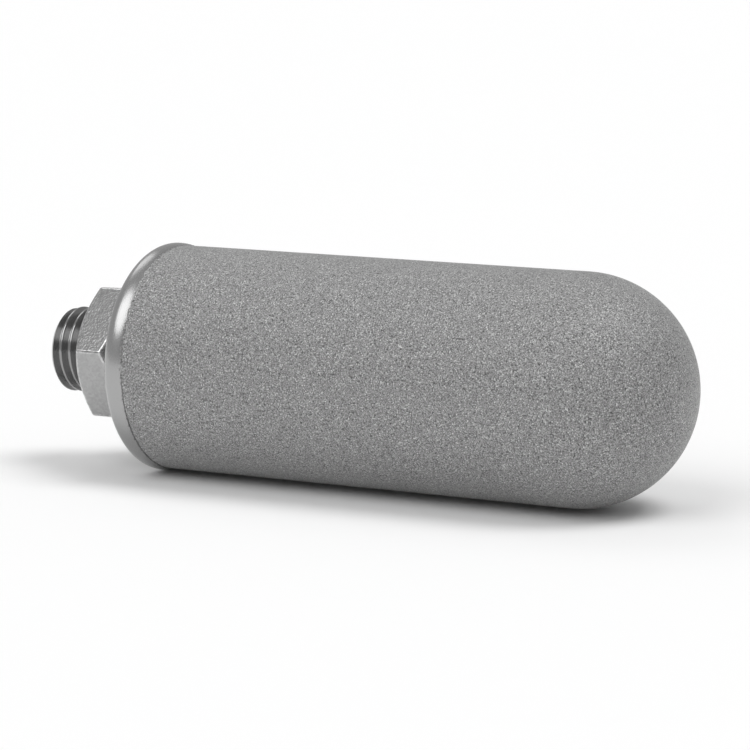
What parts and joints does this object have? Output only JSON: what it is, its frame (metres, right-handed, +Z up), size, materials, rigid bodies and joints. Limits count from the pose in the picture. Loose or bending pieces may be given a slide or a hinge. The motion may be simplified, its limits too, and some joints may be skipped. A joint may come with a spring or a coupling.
{
  "type": "sintered filter element",
  "caption": "Porous sintered-metal filter cup with a domed closed end, a welded steel end cap and a hexagon nipple with a screw stud and an outlet bore.",
  "frame": {"origin": "on the axis, in the seat face of the hexagon where the screw stud begins", "axes": "+X along the axis from the screw stud to the dome, +Z up as the element lies on its side"},
  "size_m": [0.1595, 0.053, 0.053],
  "materials": {
    "sintered_metal": "matt grey porous surface of bonded metal grains",
    "satin_steel": "turned and polished to a satin sheen",
    "machined_steel": "as machined, with milled flats and a cut thread"
  },
  "bodies": {
    "root": {"sintered_cup": "sintered_metal", "end_cap": "satin_steel", "hex_nipple": "machined_steel"}
  },
  "joints": []
}
